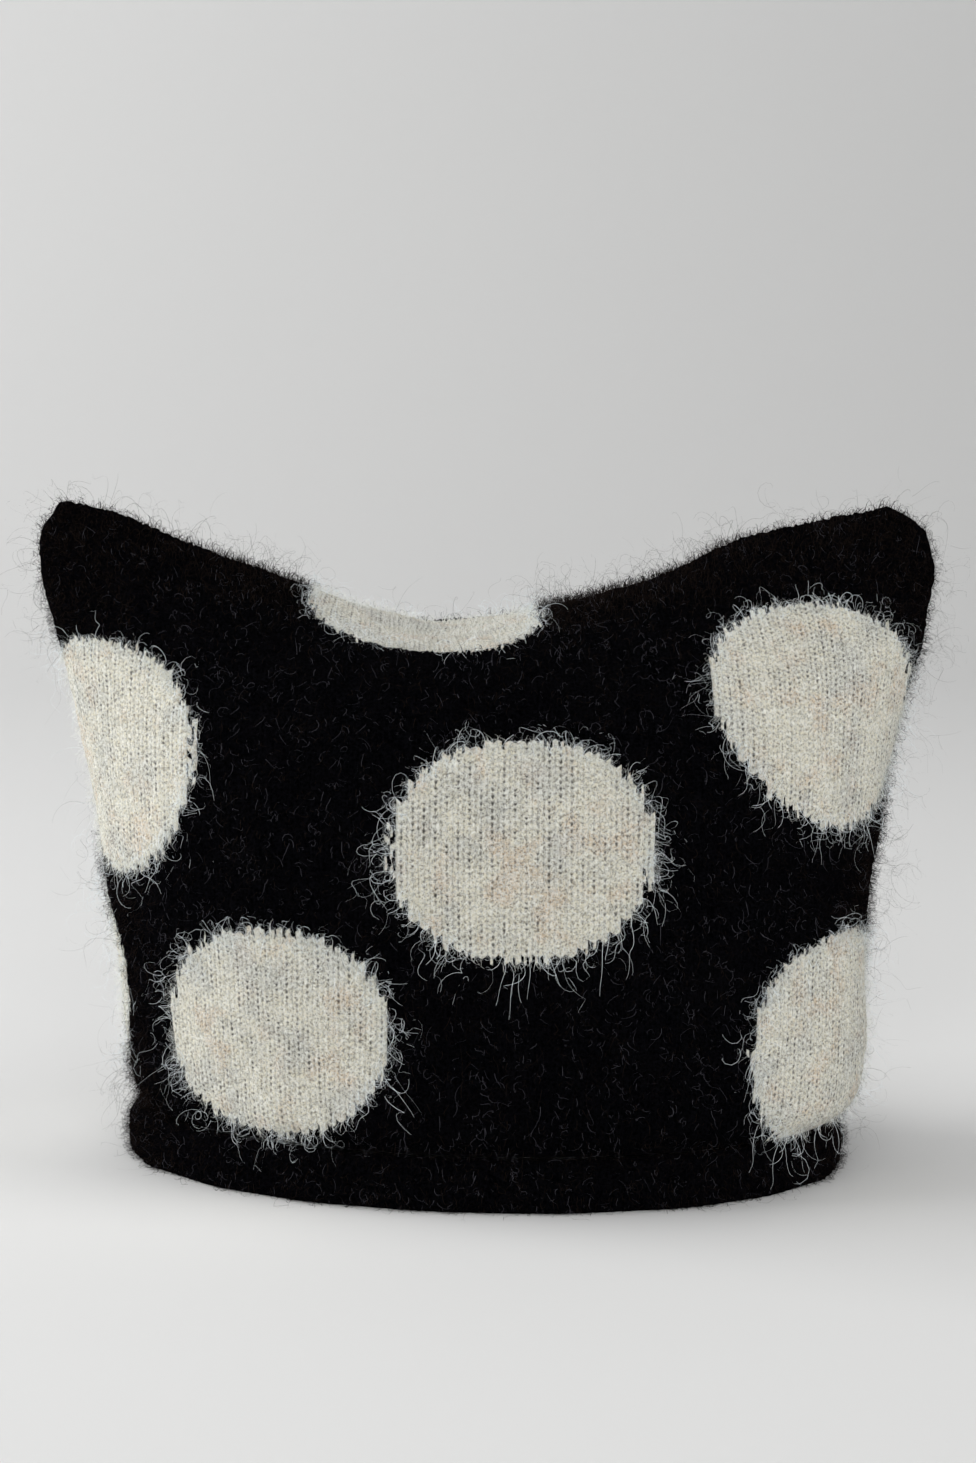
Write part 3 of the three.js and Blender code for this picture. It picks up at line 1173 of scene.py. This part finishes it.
    def _inside(self, normals: np.ndarray) -> bpy.types.Object:
        """Makes the inside wall, turned to face the hollow, with the crown's lower edge.

        Args:
            normals: The outward directions of the cloth, from which the edge's are taken.
        """
        steps, rows = self.knitting.wales, 34
        inner = self.form.rings(np.linspace(0, 1, rows), steps, hollow=True)
        edge = self.form.rings(np.zeros(1), steps, hollow=False)
        edge = edge + normals[:1, ::4] * self.knitting.pile_at(0)
        points = np.concatenate([edge, inner]).reshape(-1, 3) * MM
        columns = 2 * steps
        index = np.arange(len(points)).reshape(rows + 1, columns)
        index[-1, steps + 1 :] = index[-1, 1:steps][::-1]
        quads = index.ravel()[grid_quads(rows + 1, columns)][..., ::-1].reshape(-1, 4)
        row, place = np.meshgrid(np.arange(rows), np.arange(columns), indexing="ij")
        turned = ((1, 0), (1, 1), (0, 1), (0, 0))
        uv = corner_map([((place + side) / 2, (row + up) * 3.0) for up, side in turned])
        return mesh_piece("crown_inside", points, quads, uv)


@dataclass
class Hem:
    """The rolled hem under the crown."""

    knitting: Knitting
    profile_steps: int = 26
    waviness: float = 0.45
    tuck_from: float = 9.5
    tuck_share: float = 0.8
    inward_limit: float = -0.3
    end_from: float = 84.0
    end_to: float = 97.0

    def build(self) -> bpy.types.Object:
        """Knits the roll and returns it."""
        columns = 8 * self.knitting.wales
        outline = self._outline()
        angle = (np.arange(columns) / columns * 2 * math.pi - math.pi / 2)[None, :]
        away = np.stack([np.sin(angle) / HEM_HALF_WIDTH, -np.cos(angle) / HEM_HALF_DEPTH], axis=-1)
        away = unit(away)
        row = np.arange(self.profile_steps)[:, None]
        place = np.arange(columns)[None, :]
        out = outline[:, 0][:, None]
        height = outline[:, 1][:, None]
        tangent = np.roll(outline, -1, axis=0) - np.roll(outline, 1, axis=0)
        bulge = unit(np.stack([tangent[:, 1], -tangent[:, 0]], axis=-1))
        relief = self.knitting.stitch_relief(row, place, seed=9)
        wave = self.waviness * ripple(place / columns, row / self.profile_steps * 0.2, seed=5)
        tufts = np.random.default_rng(19).uniform(-1, 1, relief.shape) * self.knitting.roughness
        tucked = 1 - self.tuck_share * smooth_step(self.tuck_from, HEM_HEIGHT, height)
        raised = (self.knitting.pile + relief + wave + tufts) * tucked
        out = out + bulge[:, 0][:, None] * raised
        height = np.maximum(height + bulge[:, 1][:, None] * raised, 0.0)
        across = HEM_SHIFT + HEM_HALF_WIDTH * np.sin(angle) + away[..., 0] * out
        depth = -HEM_HALF_DEPTH * np.cos(angle) + away[..., 1] * out + HEM_SKEW * across
        points = np.stack([across, depth, height], axis=-1).reshape(-1, 3) * MM
        quads = grid_quads(self.profile_steps, columns, closed_up=True).reshape(-1, 4)
        rows, places = np.meshgrid(np.arange(self.profile_steps), np.arange(columns), indexing="ij")
        uv = corner_map([((places + side) / 4, (rows + up) / 2) for up, side in FACE_CORNERS])
        outside = np.broadcast_to(bulge[:, 0][:, None] > self.inward_limit, across.shape)
        rim = np.where(outside, HEM_RIM, BARE).ravel()
        sides = np.sign(across) * smooth_step(self.end_from, self.end_to, np.abs(across))
        edge = np.stack([sides, 0 * sides, 0 * sides], axis=-1).reshape(-1, 3)
        values = {"rim": rim, "outward": np.zeros_like(edge), "edge": edge}
        return mesh_piece("brim_roll", points, quads, uv, values)

    def _outline(self) -> np.ndarray:
        """Returns the roll's section as evenly spaced points, out and height."""
        corners = np.array([[point.out, point.height] for point in HEM_PROFILE])
        closed = np.vstack([corners, corners[:1]])
        strides = np.linalg.norm(np.diff(closed, axis=0), axis=1)
        lengths = np.concatenate([[0], np.cumsum(strides)])
        even = np.linspace(0, lengths[-1], self.profile_steps, endpoint=False)
        places = [np.interp(even, lengths, closed[:, axis]) for axis in range(2)]
        return np.stack(places, axis=-1)


@dataclass
class Studio:
    """The pale room that the hat stands in: floor, lights and camera."""

    camera_distance: float = 1.24
    camera_pitch: float = 9.5
    camera_height: float = 0.126
    camera_side: float = 0.0007
    lens: float = 105.0

    def build(self) -> None:
        """Sets up the floor, the lights and the camera."""
        self._floor()
        self._lights()
        self._camera()

    def _floor(self) -> None:
        """Makes the floor, which curves up far behind the hat."""
        width, front, back, radius, wall = 6.0, -3.0, 0.9, 0.7, 3.0
        turns = np.linspace(0, math.pi / 2, 17)
        arc = [(back + radius * math.sin(a), radius - radius * math.cos(a)) for a in turns]
        line = [(front, 0.0), *arc, (back + radius, wall)]
        points = [(side * width / 2, y, z) for side in (-1, 1) for y, z in line]
        count = len(line)
        faces = [(i, count + i, count + i + 1, i + 1) for i in range(count - 1)]
        mesh = bpy.data.meshes.new("studio_floor")
        mesh.from_pydata(points, [], faces)
        mesh.polygons.foreach_set("use_smooth", [True] * len(faces))
        floor = add_object("studio_floor", mesh)
        mesh.materials.append(plain_finish("pale_floor", colour(0.745, 0.745, 0.74), 0.9, 0.1))

    def _lights(self) -> None:
        """Hangs a low soft light to the left and one above the camera, and faint ones beside them."""
        self._area("side_light", (-2.0, 0.2, 0.8), (0, 0, 0.08), 1.6, 50.0)
        self._area("front_light", (0.0, -2.8, 1.1), (0, 0, 0.1), 2.2, 54.0)
        self._area("fill_light", (2.2, -0.6, 1.0), (0.1, -0.1, 0.0), 1.6, 5.0, spread=1.2)
        self._area("top_light", (-0.2, 0.1, 2.3), (0, 0, 0.1), 1.2, 2.15, spread=1.2)
        world = bpy.data.worlds.new("pale_room")
        world.use_nodes = True
        sky = world.node_tree.nodes["Background"]
        sky.inputs["Color"].default_value = colour(0.86, 0.88, 0.9)
        sky.inputs["Strength"].default_value = 0.02
        bpy.context.scene.world = world
        bpy.context.scene.view_settings.view_transform = "Standard"

    def _area(
        self, name: str, place: tuple, aim: tuple, size: float, power: float, spread: float = math.pi
    ) -> None:
        """Hangs one area light.

        Args:
            name: The light's name.
            place: Where it hangs.
            aim: The point that it faces.
            size: The side of its square.
            power: Its power in watts.
            spread: The angle of its beam.
        """
        light = bpy.data.lights.new(name, "AREA")
        light.size = size
        light.energy = power
        light.spread = spread
        lamp = add_object(name, light)
        lamp.location = place
        lamp.visible_camera = False
        lamp.rotation_euler = (Vector(aim) - Vector(place)).to_track_quat("-Z", "Y").to_euler()

    def _camera(self) -> None:
        """Stands the camera at the photograph's angle."""
        pitch = math.radians(self.camera_pitch)
        data = bpy.data.cameras.new("camera")
        data.lens = self.lens
        data.sensor_fit = "VERTICAL"
        data.sensor_height = 36.0
        data.clip_start = 0.01
        camera = add_object("camera", data)
        camera.location = (
            self.camera_side,
            -self.camera_distance * math.cos(pitch),
            self.camera_height + self.camera_distance * math.sin(pitch),
        )
        camera.rotation_euler = (math.pi / 2 - pitch, 0, 0)
        bpy.context.scene.camera = camera


# The numbers after each wool: density, length, spread, width, steps, lift, outward, turning,
# loop, loops, droop and seed
COATS = {
    "black": (
        FibreCoat(
            "black_lint", GREY_LINT, 0.085, 3.6, 0.5, 0.065, 7, 0.5, 0.0, 2.6, 0.6, 7.0, 0.1, 21,
            rim_low=0.0,
        ),
        FibreCoat(
            "black_fuzz", DARK_HALO, 0.088, 2.5, 0.5, 0.17, 5, 1.2, 0.0, 2.2, 0.7, 6.0, 0.1, 22,
            rim_low=0.0, rim_fade=3.0, edge_gain=9.5, edge_pull=0.9,
        ),
        FibreCoat(
            "black_curls", DARK_HALO, 0.013, 12.5, 0.6, 0.06, 17, 1.1, 0.0, 2.8, 1.6, 10.0, 0.2, 23,
            rim_low=0.0, rim_fade=3.0, edge_gain=5.0, edge_pull=0.8,
        ),
        FibreCoat(
            "dark_fringe", DARK_HALO, 1.2, 2.4, 0.5, 0.08, 4, 0.4, -1.0, 1.8, 0.5, 5.0, 0.0, 24,
            rim_low=0.0, rim_high=1.6,
        ),
    ),
    "cream": (
        FibreCoat("cream_lint", CREAM_LINT, 0.38, 2.6, 0.5, 0.08, 3, 0.25, 0.0, 1.8, 0.35, 3.5, 0.1, 31),
        FibreCoat(
            "cream_fuzz", CREAM_LINT, 0.05, 2.8, 0.5, 0.12, 5, 1.2, 0.0, 2.2, 0.6, 6.0, 0.1, 32,
            edge_gain=5.0, edge_pull=0.7,
        ),
        FibreCoat(
            "dot_fringe", CREAM_LINT, 4.0, 2.2, 0.6, 0.1, 4, 0.4, 0.7, 2.2, 0.5, 5.0, 0.1, 41,
            rim_low=-2.4,
        ),
        FibreCoat(
            "dot_curls", PALE_FLYAWAYS, 0.5, 8.5, 0.65, 0.085, 16, 0.6, 1.0, 3.2, 1.5, 12.0, 0.35, 42,
            rim_low=-3.6,
        ),
    ),
    "hem": (
        FibreCoat("hem_lint", GREY_LINT, 0.085, 3.6, 0.5, 0.065, 7, 0.5, 0.0, 2.6, 0.6, 7.0, 0.1, 51),
        FibreCoat(
            "hem_fuzz", DARK_HALO, 0.28, 2.5, 0.5, 0.15, 5, 1.0, 0.0, 2.2, 0.6, 6.0, 0.1, 52,
            edge_gain=2.5, edge_pull=0.8,
        ),
        FibreCoat("hem_curls", DARK_HALO, 0.03, 8.0, 0.6, 0.06, 15, 1.0, 0.0, 2.8, 1.3, 9.0, 0.2, 53),
    ),
}


def main() -> None:
    """Builds the beanie and the studio around it."""
    logging.basicConfig(level=logging.INFO, format="%(name)s %(message)s")
    Studio().build()
    groups = ShaderGroups()
    black = BLACK_KNIT.make(groups)
    cream = CREAM_KNIT.make(groups)
    wools = (GREY_LINT, DARK_HALO, CREAM_LINT, PALE_FLYAWAYS)
    loose = {wool: wool.make() for wool in wools}

    knitting = Knitting()
    pieces = Crown(CrownForm(), knitting).build()
    hem = Hem(knitting).build()
    fibres = FibreTree()
    cloths = {
        "black": (pieces["black"], Yarn.BLACK, "crown"),
        "cream": (pieces["cream"], Yarn.CREAM, "crown"),
        "hem": (hem, Yarn.BLACK, "brim"),
    }
    for name, (cloth, yarn, node) in cloths.items():
        for coat in COATS[name]:
            settle(fibres.grow(cloth, coat, loose[coat.wool]), node)
    settle(pieces["black"], "crown", black)
    settle(pieces["cream"], "crown", cream)
    settle(pieces["inside"], "crown", black)
    settle(hem, "brim", black)


if __name__ == "__main__":
    main()
